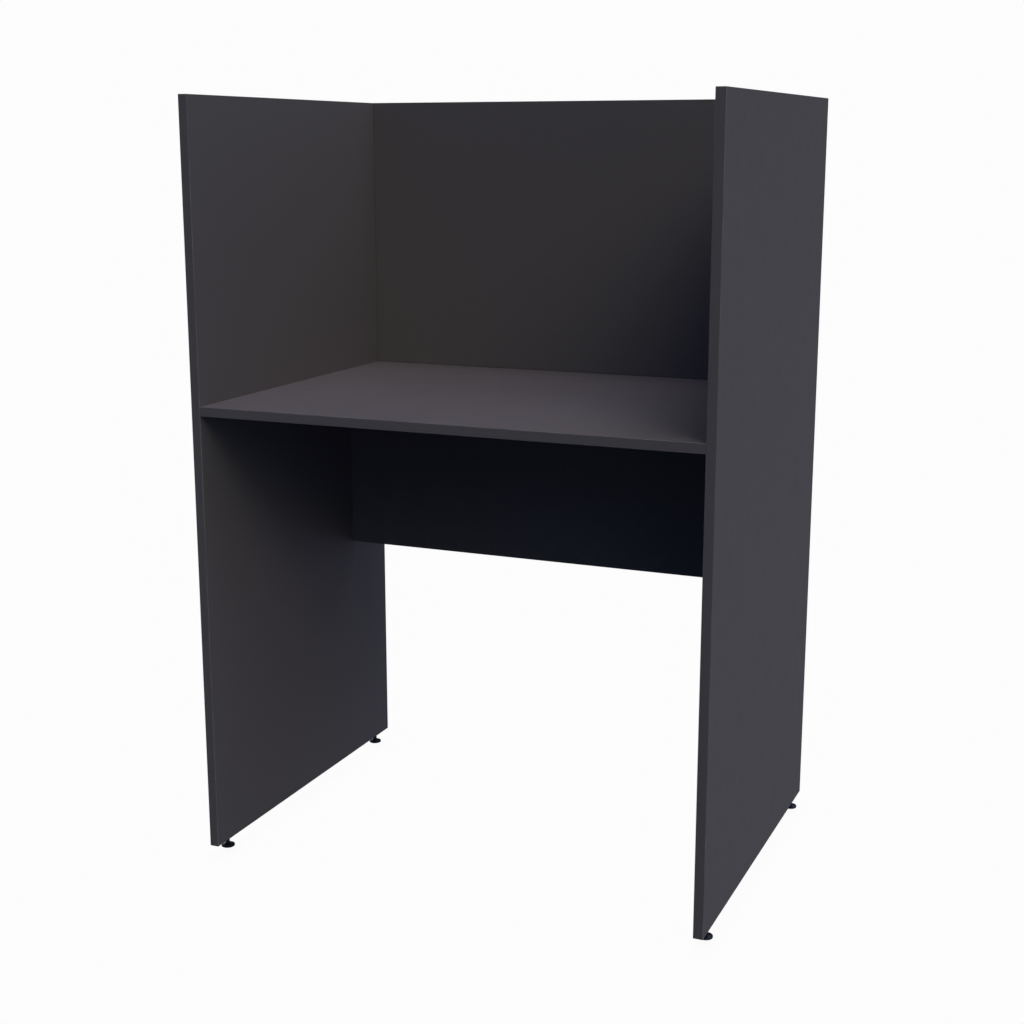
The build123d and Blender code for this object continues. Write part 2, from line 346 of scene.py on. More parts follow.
def melamine(node, handling, seams):
    """A graphite board: two pearl-embossed faces on a chipboard core.

    Handling, 0 to 1, is how much the faces are leaned and written on. The seams are the directions in
    which the board butts against another, and towards them its faces get painted shade with a little
    dust.
    """
    n = Finish(node + "_melamine")
    place = n.add("TexCoord", None, "Object")
    low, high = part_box(node)
    size = high - low
    thin, longest = thinnest_axis(size), longest_axis(size)
    across = n.add("SeparateXYZ", {0: place}, thin)
    from_middle = n.maths("ABSOLUTE", n.maths("SUBTRACT", across, (low[thin] + high[thin]) / 2))
    depth = n.maths("SUBTRACT", size[thin] / 2, from_middle)
    core = n.ramp(depth, PAPER_DEPTH, PAPER_DEPTH * PAPER_FADE)

    # The faces: slow drifts of tone, a fine fleck with paler specks, hand marks, hairline scratches, and
    # painted shade at the seams.
    drift = n.noise(place, BOARD_DRIFT, 2.0)
    cloud = n.noise(place, BOARD_CLOUD, 3.0, 0.6)
    fleck = n.ramp(n.noise(place, BOARD_FLECK, 2.0, 0.7), 0.32, 0.68)
    pearl = n.cells(place, BOARD_PEARL)
    smudge = n.ramp(n.noise(place, BOARD_SMUDGE, 4.0, 0.55), 0.50, 0.72)
    stretch = [1.0 if axis == longest else SCRATCH_STRETCH for axis in range(3)]
    hair = n.noise(n.stretched(place, stretch), SCRATCHES, 3.0, 0.6)
    line = n.ramp(n.maths("ABSOLUTE", n.maths("SUBTRACT", hair, 0.5)), 0.0, SCRATCH_WIDTH, 1.0, 0.0)
    scratch = n.maths("MULTIPLY", line, n.ramp(n.noise(place, SCRATCH_PATCHES, 3.0), 0.56, 0.66))
    marks = n.maths("MULTIPLY", scratch, handling)
    tone = n.tone((0.05, drift), (0.07, cloud), (0.20, fleck))
    tone = n.maths("ADD", tone, n.ramp(pearl, 0.10, 0.30, 0.16, 0.0))
    # Painted shade, with a little dust, darkens the face towards each seam.
    for direction in seams:
        end = max(direction.dot(low), direction.dot(high))
        gap = n.maths("SUBTRACT", end, n.vectors("DOT_PRODUCT", place, direction, output=1))
        tone = n.maths("MULTIPLY", tone, n.ramp(gap, 0.0, SEAM_WIDTH, SEAM_PAINTED_SHADE, 1.0))
    face = n.mix(n.maths("MULTIPLY", marks, 0.25), n.scaled(GRAPHITE, tone), GRAPHITE_WORN)

    # The core: pressed chips of mixed size and tone.
    chips = n.cells(n.stretched(place, CHIP_SQUASH), CHIPS)
    grain = n.noise(place, CHIP_GRAIN, 3.0, 0.7)
    chip_tone = n.maths("MULTIPLY", n.ramp(chips, 0.1, 0.7), n.ramp(grain, 0.25, 0.8))
    wood = n.mix(chip_tone, CHIPBOARD_LIGHT, CHIPBOARD_DARK)

    polish = n.maths("MULTIPLY", smudge, 0.05 * handling)
    matt = n.maths("MULTIPLY_ADD", fleck, 0.14, n.around(0.50, 0.08, cloud))
    roughness = n.maths("MULTIPLY_ADD", core, 0.35, n.maths("SUBTRACT", matt, polish))
    relief = n.maths("MULTIPLY_ADD", fleck, 0.5, n.maths("MULTIPLY", pearl, -0.5))
    relief = n.maths("SUBTRACT", relief, n.maths("MULTIPLY", marks, 0.5))
    colour = n.mix(core, face, wood)
    return n.surface(colour, roughness, relief, BOARD_RELIEF, Specular_IOR_Level=BOARD_SHINE)


def banding():
    """Graphite plastic banding: faint draw lines along it, and arrises rubbed pale here and there."""
    n = Finish("graphite_banding")
    local = n.attribute("local", "Vector")
    place = n.add("TexCoord", None, "Object")
    drawn = n.noise(n.stretched(local, BAND_DRAW_STRETCH), BAND_DRAW_LINES, 2.0, 0.6)
    cloud = n.noise(place, BAND_CLOUD, 3.0, 0.6)
    fleck = n.ramp(n.noise(place, BAND_FLECK, 2.0, 0.7), 0.32, 0.68)
    rubbed = n.ramp(n.noise(place, BAND_RUB, 5.0, 0.65), 0.42, 0.62)
    wear = n.maths("MULTIPLY", n.attribute("wear", "Fac"), rubbed)
    tone = n.tone((0.16, drawn), (0.08, cloud), (0.16, fleck))
    colour = n.mix(n.maths("MULTIPLY", wear, 0.6), n.scaled(GRAPHITE_BAND, tone), GRAPHITE_WORN)
    roughness = n.maths("MULTIPLY_ADD", wear, -0.12, n.around(0.47, 0.14, fleck))
    relief = n.maths("MULTIPLY_ADD", drawn, 0.6, n.maths("MULTIPLY", fleck, 0.4))
    return n.surface(colour, roughness, relief, BAND_RELIEF, Specular_IOR_Level=BOARD_SHINE)


def moulded(name, base, scuffed, roughness, grain_scale, shine=0.5, sheen=(1.0, 1.0, 1.0)):
    """Moulded plastic with a fine spark-eroded grain, scuffed where its wear is high.

    Shine is how much light it reflects, and sheen the colour of its reflections.
    """
    n = Finish(name)
    local = n.attribute("local", "Vector")
    grain = n.noise(local, grain_scale, 2.0, 0.65)
    flow = n.noise(n.stretched(local, MOULD_FLOW_STRETCH), MOULD_FLOW, 2.0, 0.5)
    rubbed = n.ramp(n.noise(local, MOULD_RUB, 4.0, 0.7), 0.42, 0.66)
    wear = n.maths("MULTIPLY", n.attribute("wear", "Fac"), rubbed)
    tone = n.tone((0.16, flow), (0.16, grain))
    colour = n.mix(n.maths("MULTIPLY", wear, 0.8), n.scaled(base, tone), scuffed)
    matt = n.maths("MULTIPLY_ADD", wear, 0.15, n.around(roughness, 0.12, grain))
    reflection = {"Specular_IOR_Level": shine, "Specular_Tint": solid(sheen)}
    return n.surface(colour, matt, grain, MOULD_RELIEF, **reflection)


def metal(name, base, bright, roughness, rings, grain_scale, depth):
    """Metal with turning marks, brighter where its wear is high.

    The marks are finer along the piece than round it by the factor `rings`, so that they run round it.
    """
    n = Finish(name)
    local = n.attribute("local", "Vector")
    marks = n.noise(n.stretched(local, (1.0, 1.0, rings)), grain_scale, 3.0, 0.65)
    bloom = n.noise(local, METAL_BLOOM, 3.0, 0.6)
    rubbed = n.ramp(n.noise(local, METAL_RUB, 4.0, 0.65), 0.40, 0.62)
    wear = n.maths("MULTIPLY", n.attribute("wear", "Fac"), rubbed)
    tone = n.tone((0.20, marks), (0.30, bloom))
    colour = n.mix(wear, n.scaled(base, tone), bright)
    matt = n.maths("MULTIPLY_ADD", wear, -0.10, n.around(roughness, 0.18, bloom))
    return n.surface(colour, matt, marks, depth, Metallic=1.0)


def cast_metal(name, base, roughness):
    """Metal of a CAD node, which has no local axes of its own, with a cast skin."""
    n = Finish(name)
    place = n.add("TexCoord", None, "Object")
    grain = n.noise(place, CAST_GRAIN, 3.0, 0.7)
    bloom = n.noise(place, CAST_BLOOM, 3.0, 0.6)
    tone = n.tone((0.18, grain), (0.22, bloom))
    matt = n.around(roughness, 0.20, bloom)
    return n.surface(n.scaled(base, tone), matt, grain, CAST_RELIEF, Metallic=1.0)


def birch():
    """Turned birch: fine grain along the dowel and darker pores."""
    n = Finish("dowel_birch")
    local = n.attribute("local", "Vector")
    fibre = n.noise(n.stretched(local, BIRCH_FIBRE_STRETCH), BIRCH_FIBRE, 4.0, 0.65)
    ring = n.noise(n.stretched(local, BIRCH_RING_STRETCH), BIRCH_RINGS, 2.0, 0.5)
    pores = n.cells(n.stretched(local, BIRCH_PORE_STRETCH), BIRCH_PORES)
    dark = n.maths("MULTIPLY_ADD", n.ramp(ring, 0.35, 0.7), 0.6, n.maths("MULTIPLY", fibre, 0.4))
    dark = n.maths("ADD", dark, n.ramp(pores, 0.0, 0.16, 0.25, 0.0), clamp=True)
    colour = n.mix(dark, BIRCH_LIGHT, BIRCH_DARK)
    return n.surface(colour, n.around(0.7, 0.2, fibre), fibre, BIRCH_RELIEF)


# ---------------------------------------------------------------- meshes

def blank():
    """An empty mesh under construction, whose points carry local coordinates and wear."""
    bm = bmesh.new()
    bm.verts.layers.float_vector.new("local")
    bm.verts.layers.float.new("wear")
    return bm


def on_circle(radius, angle, height):
    """A point round the local Z axis. The radius may be a function of the angle."""
    reach = radius(angle) if callable(radius) else radius
    return Vector((reach * math.cos(angle), reach * math.sin(angle), height))


def turned(bm, outline, columns=COLUMNS, first_end=True, last_end=True):
    """Adds a turned surface from (radius, height) or (radius, height, wear) points.

    The first and the last ring are closed with a flat face if asked.
    """
    wear = bm.verts.layers.float["wear"]
    rings = []
    for radius, height, *rub in outline:
        ring = [bm.verts.new(on_circle(radius, math.tau * i / columns, height)) for i in range(columns)]
        for vert in ring:
            vert[wear] = rub[0] if rub else 0.0
        rings.append(ring)
    for lower, upper in zip(rings, rings[1:]):
        for i in range(columns):
            j = (i + 1) % columns
            bm.faces.new((lower[i], lower[j], upper[j], upper[i]))
    if first_end:
        bm.faces.new(rings[0][::-1])
    if last_end:
        bm.faces.new(rings[-1])


def threaded(bm, profile, pitch, start, end, columns=COLUMNS):
    """Adds a right-handed thread that runs out to its root radius at both ends.

    The profile is (share of a pitch, radius) points with the root first. Rows of points follow the helix,
    and those beyond an end are pressed onto its plane.
    """
    wear = bm.verts.layers.float["wear"]
    root = profile[0][1]
    outward = 1.0 if max(radius for share, radius in profile) > root else -1.0
    per_pitch = len(profile)
    turns = math.ceil((end - start) / pitch) + 2 * THREAD_LEAD
    rows = []
    for row in range(turns * per_pitch):
        share, radius = profile[row % per_pitch]
        bottom = start + pitch * (row // per_pitch - THREAD_LEAD + share)
        points = []
        for i in range(columns):
            height = min(max(bottom + pitch * i / columns, start), end)
            run_out = min(height - start, end - height)
            relief = min(abs(radius - root), run_out)
            vert = bm.verts.new(on_circle(root + outward * relief, math.tau * i / columns, height))
            vert[wear] = 1.0 if relief > 0.0 and relief < run_out else 0.0
            points.append(vert)
        rows.append(points)
    for row in range(len(rows) - per_pitch - 1):
        for i in range(columns):
            lap = (i + 1) // columns * per_pitch
            j = (i + 1) % columns
            bm.faces.new((rows[row][i], rows[row + lap][j], rows[row + 1 + lap][j], rows[row + 1][i]))


def outer_thread(root, crest):
    """The profile of a screw's thread."""
    rise = THREAD_ROOT + THREAD_FLANK
    return [(0.0, root), (THREAD_ROOT, root), (rise, crest), (rise + THREAD_CREST, crest)]


def inner_thread(root, crest):
    """The profile of a hole's thread, whose root stands over the outer thread's crest."""
    start = THREAD_ROOT + THREAD_FLANK
    stop = start + THREAD_CREST
    return [(start, root), (stop, root), (stop + HOLE_FLANK, crest), (stop + 2 * HOLE_FLANK, crest)]


def arc(middle_radius, middle_height, radius, start, end, wear=0.0):
    """Points of an arc in the plane of an outline, between two angles in degrees."""
    points = []
    for step in range(ARC_STEPS + 1):
        angle = math.radians(start + (end - start) * step / ARC_STEPS)
        points.append((
            middle_radius + radius * math.cos(angle),
            middle_height + radius * math.sin(angle),
            wear,
        ))
    return points


def welded(bm):
    """Joins coincident points, points every face outward and notes each point's local place."""
    bmesh.ops.remove_doubles(bm, verts=bm.verts, dist=WELD)
    loose = [vert for vert in bm.verts if not vert.link_faces]
    bmesh.ops.delete(bm, geom=loose, context="VERTS")
    bmesh.ops.recalc_face_normals(bm, faces=bm.faces)
    local = bm.verts.layers.float_vector["local"]
    for vert in bm.verts:
        vert[local] = vert.co
    return bm


def copies(bm, places):
    """The same solid at each place, in one mesh. The finish shifts a little from copy to copy."""
    whole = blank()
    local, wear = whole.verts.layers.float_vector["local"], whole.verts.layers.float["wear"]
    from_local, from_wear = bm.verts.layers.float_vector["local"], bm.verts.layers.float["wear"]
    for number, place in enumerate(places):
        shift = COPY_SHIFT * number
        made = {}
        for vert in bm.verts:
            made[vert] = whole.verts.new(place @ vert.co)
            made[vert][local] = vert[from_local] + shift
            made[vert][wear] = vert[from_wear]
        for face in bm.faces:
            whole.faces.new([made[vert] for vert in face.verts])
    return whole


def stand_in(node, suffix, bm, material):
    """Makes the mesh a piece that rides with a CAD node's body and is shown in its place."""
    for face in bm.faces:
        face.smooth = True
    for edge in bm.edges:
        edge.smooth = edge.is_manifold and edge.calc_face_angle() < SHARP
    mesh = bpy.data.meshes.new(f"{node}_{suffix}")
    bm.to_mesh(mesh)
    bm.free()
    mesh.materials.append(material)
    piece = bpy.data.objects.new(mesh.name, mesh)
    bpy.context.scene.collection.objects.link(piece)
    even = piece.modifiers.new("even_shading", "WEIGHTED_NORMAL")
    even.keep_sharp = True
    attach(piece, frame["nodes"][node]["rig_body"])
    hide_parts(node)
    return piece


def solids(node):
    """The (lowest, highest) corners of each separate solid of a CAD node, in a fixed order."""
    bm = bmesh.new()
    bm.from_mesh(frame["nodes"][node].data)
    bmesh.ops.remove_doubles(bm, verts=bm.verts, dist=WELD)
    for vert in bm.verts:
        vert.tag = False
    boxes = []
    for first in bm.verts:
        if first.tag:
            continue
        first.tag = True
        group, at = [first], 0
        while at < len(group):
            for edge in group[at].link_edges:
                other = edge.other_vert(group[at])
                if not other.tag:
                    other.tag = True
                    group.append(other)
            at += 1
        low = Vector([min(vert.co[axis] for vert in group) for axis in range(3)])
        high = Vector([max(vert.co[axis] for vert in group) for axis in range(3)])
        boxes.append((low, high))
    bm.free()
    return sorted(boxes, key=lambda box: [round(value, SORT_DIGITS) for value in box[0]])


def aimed(origin, direction):
    """The place of a piece whose local Z axis points in a direction."""
    return Matrix.Translation(origin) @ direction.to_track_quat("Z", "Y").to_matrix().to_4x4()


# ---------------------------------------------------------------- edge bands

def carved(bm, cutter):
    """The solid with another solid cut out of it. Both are used up."""
    pieces = []
    for solid_mesh in (bm, cutter):
        mesh = bpy.data.meshes.new("carving")
        solid_mesh.to_mesh(mesh)
        solid_mesh.free()
        pieces.append(bpy.data.objects.new("carving", mesh))
        bpy.context.scene.collection.objects.link(pieces[-1])
    cut = pieces[0].modifiers.new("cut", "BOOLEAN")
    cut.operation = "DIFFERENCE"
    cut.solver = "EXACT"
    cut.object = pieces[1]
    result = bmesh.new()
    result.from_object(pieces[0], bpy.context.evaluated_depsgraph_get())
    for piece in pieces:
        bpy.data.meshes.remove(piece.data)
    return result


def foot_bores(low, high):
    """Round cutters for the foot inserts that stand within a box's width."""
    post = blank()
    turned(post, [(BORE_RADIUS, low.z - BORE_OVERCUT), (BORE_RADIUS, high.z + BORE_OVERCUT)])
    places = [place for place in insert_places() if low.x < place.translation.x < high.x]
    return copies(welded(post), places)


def band(node, outward, free_ends=False, bored=False):
    """A strip of banding with rounded arrises, and rounded ends where no board covers them."""
    low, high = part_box(node)
    size = high - low
    out_axis = longest_axis([abs(value) for value in outward])
    length_axis = longest_axis(size)
    side_axis = 3 - out_axis - length_axis
    outer = high[out_axis] if outward[out_axis] > 0 else low[out_axis]
    inner = low[out_axis] if outward[out_axis] > 0 else high[out_axis]
    bm = blank()
    block = Matrix.Translation((low + high) / 2) @ Matrix.Diagonal((*size, 1))
    bmesh.ops.create_cube(bm, size=1.0, matrix=block)

    def on_plane(vert, axis, value):
        return abs(vert.co[axis] - value) < WELD

    def at_end(edge):
        return any(
            all(on_plane(vert, length_axis, end) for vert in edge.verts)
            for end in (low[length_axis], high[length_axis])
        )

    def at_inner(edge):
        return all(on_plane(vert, out_axis, inner) for vert in edge.verts)

    rounded = [e for e in bm.edges if not at_inner(e) and (free_ends or not at_end(e))]
    bmesh.ops.bevel(
        bm, geom=rounded, offset=BAND_ARRIS, segments=BAND_ARRIS_STEPS, profile=0.5, affect="EDGES",
    )
    glued = [e for e in bm.edges if at_inner(e)]
    bmesh.ops.bevel(bm, geom=glued, offset=GLUE_GROOVE, segments=1, affect="EDGES")
    if bored:
        bm = carved(bm, foot_bores(low, high))
    wear = bm.verts.layers.float["wear"]
    for vert in bm.verts:
        inset = [
            abs(vert.co[out_axis] - outer),
            min(vert.co[side_axis] - low[side_axis], high[side_axis] - vert.co[side_axis]),
            min(vert.co[length_axis] - low[length_axis], high[length_axis] - vert.co[length_axis]),
        ]
        vert[wear] = float(sum(WELD < far < BAND_ARRIS - WELD for far in inset) >= 2)
    welded(bm)
    local = bm.verts.layers.float_vector["local"]
    for vert in bm.verts:
        vert[local] = (vert.co[side_axis], vert.co[out_axis], vert.co[length_axis])
    return stand_in(node, "rounded", bm, banding_finish)


# ---------------------------------------------------------------- joint hardware

def cam_bolt():
    """A bolt with a screw thread for the board, a collar, a shank and a head for the cam."""
    bm = blank()
    turned(bm, [(BOLT_ROOT_RADIUS, BOLT_TIP)], last_end=False)
    thread = outer_thread(BOLT_ROOT_RADIUS, BOLT_THREAD_RADIUS)
    threaded(bm, thread, BOLT_PITCH, BOLT_TIP, BOLT_THREAD_END)
    turned(bm, [
        (BOLT_ROOT_RADIUS, BOLT_THREAD_END),
        (BOLT_THREAD_RADIUS, 0.0),
        (BOLT_COLLAR_RADIUS - BOLT_EASE, 0.0),
        (BOLT_COLLAR_RADIUS, BOLT_EASE, 1.0),
        (BOLT_COLLAR_RADIUS, BOLT_COLLAR_END - BOLT_EASE, 1.0),
        (BOLT_COLLAR_RADIUS - BOLT_EASE, BOLT_COLLAR_END),
        (BOLT_SHANK_RADIUS, BOLT_COLLAR_END),
        (BOLT_SHANK_RADIUS, BOLT_NECK_START - BOLT_EASE),
        (BOLT_SHANK_RADIUS - BOLT_EASE, BOLT_NECK_START),
        (BOLT_NECK_RADIUS, BOLT_NECK_START),
        (BOLT_NECK_RADIUS, BOLT_HEAD_START),
        (BOLT_HEAD_RADIUS - BOLT_EASE, BOLT_HEAD_START),
        (BOLT_HEAD_RADIUS, BOLT_HEAD_START + BOLT_EASE, 1.0),
        *arc(BOLT_HEAD_RADIUS - 2 * BOLT_EASE, BOLT_HEAD_END - 2 * BOLT_EASE, 2 * BOLT_EASE, 0, 90, 0.6),
    ], first_end=False)
    return welded(bm)


def cam_cap():
    """A low crowned cap, with a cross-shaped spigot that grips the driver cross of the cam."""
    def cross(scale):
        def radius(angle):
            major = max(abs(math.cos(angle)), abs(math.sin(angle)))
            minor = min(abs(math.cos(angle)), abs(math.sin(angle)))
            return scale * min(CAP_SPIGOT_REACH / major, CAP_SPIGOT_ARM / max(minor, LEAST_SINE))
        return radius

    bm = blank()
    tip = 1 - CAP_SPIGOT_EASE / CAP_SPIGOT_REACH
    turned(bm, [
        (cross(tip), CAP_SPIGOT_END),
        (cross(1.0), CAP_SPIGOT_END + CAP_SPIGOT_EASE),
        (cross(1.0), 0.0),
        (CAP_RADIUS - CAP_FOOT_EASE, 0.0),
        (CAP_RADIUS, CAP_FOOT_EASE),
        *arc(CAP_RADIUS - CAP_ROUND, CAP_RIM - CAP_ROUND, CAP_ROUND, 0, 75, 1.0),
        *[(CAP_RADIUS * reach, CAP_RIM + (CAP_CROWN - CAP_RIM) * rise) for reach, rise in CAP_DOME],
        (CAP_GATE_RADIUS, CAP_CROWN),
        (CAP_GATE_RADIUS * CAP_GATE_TAPER, CAP_CROWN - CAP_GATE_DEPTH),
    ])
    return welded(bm)


def dowel():
    """A fluted dowel with chamfered ends."""
    def fluted(angle):
        groove = max(0.0, math.cos(angle * DOWEL_FLUTES)) ** 2
        return DOWEL_RADIUS - DOWEL_FLUTE_DEPTH * groove

    bm = blank()
    shoulder = DOWEL_HALF_LENGTH - DOWEL_CHAMFER
    turned(bm, [
        (DOWEL_RADIUS - DOWEL_CHAMFER, -DOWEL_HALF_LENGTH),
        (fluted, -shoulder),
        (fluted, shoulder),
        (DOWEL_RADIUS - DOWEL_CHAMFER, DOWEL_HALF_LENGTH),
    ], columns=DOWEL_COLUMNS)
    return welded(bm)


def centre(box):
    return (box[0] + box[1]) / 2


def unit(axis, sign):
    direction = Vector((0.0, 0.0, 0.0))
    direction[axis] = sign
    return direction


def bolt_places(board):
    """From each bolt's box: its joint face, and the direction from there to the nearest cam."""
    cams = [centre(box) for box in solids(board + "_cams")]
    places = []
    for box in solids(board + "_cam_bolts"):
        size = box[1] - box[0]
        along = longest_axis(size)
        middle = centre(box)
        cam = min(cams, key=lambda place: (place - middle).length)
        direction = unit(along, math.copysign(1.0, cam[along] - middle[along]))
        tip = middle - direction * size[along] / 2
        places.append(aimed(tip - direction * BOLT_TIP, direction))
    return places


def cap_places(board):
    """On the board's face, over each cam, with the crown outward."""
    board_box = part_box(board)
    places = []
    for box in solids(board + "_cam_caps"):
        thin = thinnest_axis(box[1] - box[0])
        middle = centre(box)
        sign = math.copysign(1.0, middle[thin] - centre(board_box)[thin])
        face = middle.copy()
        face[thin] = board_box[1][thin] if sign > 0 else board_box[0][thin]
        places.append(aimed(face, unit(thin, sign)))
    return places


def dowel_places(board):
    places = []
    for box in solids(board + "_dowels"):
        along = longest_axis(box[1] - box[0])
        places.append(aimed(centre(box), unit(along, 1.0)))
    return places


def joint_hardware(board):
    stand_in(board + "_cam_bolts", "threaded", copies(cam_bolt(), bolt_places(board)), bolt_finish)
    stand_in(board + "_cam_caps", "crowned", copies(cam_cap(), cap_places(board)), cap_finish)
    stand_in(board + "_dowels", "fluted", copies(dowel(), dowel_places(board)), birch_finish)
    frame["nodes"][board + "_cams"].material_slots[0].material = cam_finish


# ---------------------------------------------------------------- levelling feet

def foot_pad():
    """A pad with a hollow sole, a conical top and a boss whose lip holds the stud."""
    lip_bottom = GROOVE_BOTTOM + GROOVE_PLAY
    lip_top = GROOVE_TOP - GROOVE_PLAY
    cone = math.degrees(math.atan2(PAD_RADIUS - PAD_SHOULDER_RADIUS, PAD_SHOULDER - PAD_RIM))
    rim_drop = PAD_RIM_ROUND * math.tan(math.radians(90 - cone) / 2 + math.radians(45) / 2)
    bm = blank()
    turned(bm, [
        (PAD_RECESS_RADIUS - PAD_RECESS_DEPTH, PAD_RECESS_DEPTH),
        (PAD_RECESS_RADIUS, 0.0),
        *arc(PAD_RADIUS - PAD_FOOT_ROUND, PAD_FOOT_ROUND, PAD_FOOT_ROUND, -90, 0, 1.0),
        *arc(PAD_RADIUS - PAD_RIM_ROUND, PAD_RIM - rim_drop, PAD_RIM_ROUND, 0, cone, 0.7),
        (PAD_SHOULDER_RADIUS, PAD_SHOULDER),
        *arc(PAD_BOSS_RADIUS - PAD_BOSS_ROUND, PAD_HEIGHT - PAD_BOSS_ROUND, PAD_BOSS_ROUND, 0, 90, 0.4),
        (PAD_BORE, PAD_HEIGHT),
        (PAD_BORE, lip_top),
        (PAD_LIP, lip_top),
        (PAD_LIP, lip_bottom),
        (PAD_BORE, lip_bottom),
        (PAD_BORE, SOCKET_FLOOR),
    ])
    return welded(bm)


def foot_stud():
    """A stud with a snap groove at its foot, two spanner flats and a thread above them."""
    def flattened(angle):
        return min(STUD_RADIUS, FLAT_HALF_WIDTH / max(abs(math.sin(angle)), LEAST_SINE))

    chamfered = STUD_RADIUS - STUD_CHAMFER
    bm = blank()
    turned(bm, [
        (chamfered, SOCKET_FLOOR),
        (STUD_RADIUS, SOCKET_FLOOR + STUD_CHAMFER),
        (STUD_RADIUS, GROOVE_BOTTOM),
        (GROOVE_RADIUS, GROOVE_BOTTOM),
        (GROOVE_RADIUS, GROOVE_TOP),
        (STUD_RADIUS, GROOVE_TOP),
        (STUD_RADIUS, FLAT_BOTTOM, 0.5),
        (flattened, FLAT_BOTTOM, 0.8),
        (flattened, FLAT_TOP, 0.8),
        (STUD_RADIUS, FLAT_TOP, 0.5),
        (STUD_RADIUS, THREAD_START - STUD_CHAMFER / 2),
        (STUD_ROOT_RADIUS, THREAD_START),
    ], last_end=False)
    threaded(bm, outer_thread(STUD_ROOT_RADIUS, STUD_RADIUS), STUD_PITCH, THREAD_START, STUD_TOP)
    turned(bm, [(STUD_ROOT_RADIUS, STUD_TOP)], first_end=False)
    return welded(bm)


def foot_insert():
    """A press-in insert: knurled barbs outside, a plain lead and a thread inside."""
    def knurled(angle):
        return INSERT_RADIUS - INSERT_RIDGE_DEPTH * (0.5 - 0.5 * math.cos(angle * INSERT_RIDGES))

    bm = blank()
    barb_height = (INSERT_TOP - INSERT_BOTTOM) / INSERT_BARBS
    narrow = INSERT_RADIUS - INSERT_BARB_DEPTH
    outline = [(INSERT_ROOT_RADIUS, INSERT_BOTTOM + INSERT_LEAD)]
    outline.append((INSERT_ROOT_RADIUS, INSERT_BOTTOM + INSERT_EASE))
    outline.append((INSERT_ROOT_RADIUS + INSERT_EASE, INSERT_BOTTOM, 0.6))
    outline.append((narrow, INSERT_BOTTOM, 0.6))
    for barb in range(INSERT_BARBS):
        bottom = INSERT_BOTTOM + barb * barb_height
        outline.append((knurled, bottom + INSERT_EASE, 1.0))
        outline.append((narrow, bottom + barb_height))
    outline.append((INSERT_ROOT_RADIUS, INSERT_TOP))
    turned(bm, outline, columns=INSERT_COLUMNS, first_end=False, last_end=False)
    thread = inner_thread(INSERT_ROOT_RADIUS, INSERT_CREST_RADIUS)
    start = INSERT_BOTTOM + INSERT_LEAD
    threaded(bm, thread, STUD_PITCH, start, INSERT_TOP, columns=INSERT_COLUMNS)
    return welded(bm)


def foot(name):
    """The pad and the stud of one levelling foot, on the axis of its CAD pad."""
    pad = centre(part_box(name + "_foot_pad"))
    places = [Matrix.Translation((pad.x, pad.y, 0.0))]
    stand_in(name + "_foot_pad", "moulded", copies(foot_pad(), places), pad_finish)
    stand_in(name + "_foot_stud", "threaded", copies(foot_stud(), places), stud_finish)


def insert_places():
    middles = [centre(box) for box in solids("foot_inserts")]
    return [Matrix.Translation((middle.x, middle.y, 0.0)) for middle in middles]


# ---------------------------------------------------------------- the object

banding_finish = banding()
cap_finish = moulded("cap_plastic", GRAPHITE, GRAPHITE_WORN, roughness=0.42, grain_scale=1500.0)
pad_finish = moulded(
    "pad_plastic", MOULDED_BLACK, MOULDED_SCUFF,
    roughness=0.27, grain_scale=1300.0, shine=0.12, sheen=MOULDED_SHEEN,
)
stud_finish = metal(
    "stud_black_zinc", BLACK_ZINC, BLACK_ZINC_WORN,
    roughness=0.38, rings=6.0, grain_scale=500.0, depth=0.01 * MM,
)
bolt_finish = metal(
    "bolt_steel", BARE_STEEL, BARE_STEEL,
    roughness=0.32, rings=8.0, grain_scale=500.0, depth=0.01 * MM,
)
insert_finish = metal(
    "insert_steel", BARE_STEEL, BARE_STEEL,
    roughness=0.36, rings=5.0, grain_scale=400.0, depth=0.02 * MM,
)
cam_finish = cast_metal("cam_zinc", ZINC, roughness=0.48)
birch_finish = birch()

LEFT, RIGHT = Vector((-1, 0, 0)), Vector((1, 0, 0))
FRONT, REAR = Vector((0, -1, 0)), Vector((0, 1, 0))
TOP, BOTTOM = Vector((0, 0, 1)), Vector((0, 0, -1))

# How much each board is handled, and the directions in which it butts against another, where painted
# shade darkens it.
BOARDS = {
    "left_side_panel": (0.5, ()),
    "right_side_panel": (0.5, ()),
    "worktop": (1.0, (LEFT, RIGHT)),
    "back_panel": (0.3, (LEFT, RIGHT, BOTTOM)),
    "modesty_panel": (0.3, (LEFT, RIGHT, TOP)),
}
SIDE_PANEL_BANDS = {"front": FRONT, "rear": REAR, "top": TOP, "bottom": BOTTOM}

for board, (handling, seams) in BOARDS.items():
    frame["nodes"][board].material_slots[0].material = melamine(board, handling, seams)
for panel in ("left_side_panel", "right_side_panel"):
    for edge_name, outward in SIDE_PANEL_BANDS.items():
        full_length = edge_name in ("front", "rear")
        band(f"{panel}_{edge_name}_band", outward, free_ends=full_length, bored=outward == BOTTOM)
band("worktop_front_band", FRONT)
band("worktop_rear_band", REAR)
band("back_panel_top_band", TOP)
band("modesty_panel_bottom_band", BOTTOM)
for board in ("worktop", "back_panel", "modesty_panel"):
    joint_hardware(board)
for name in ("front_left", "front_right", "rear_left", "rear_right"):
    foot(name)
stand_in("foot_inserts", "knurled", copies(foot_insert(), insert_places()), insert_finish)


# ---------------------------------------------------------------- studio

FLOOR_HALF_WIDTH = 15.0
FLOOR_GAP = 0.5 * MM  # between the floor and the feet at their lowest
CONTACT_REACH = 0.03  # how far the painted soft shadow spreads round what nearly touches the floor
# how deep the painted shade is, right under what touches the floor
CONTACT_PAINTED_SHADE = 0.05
CONTACT_SAMPLES = 2

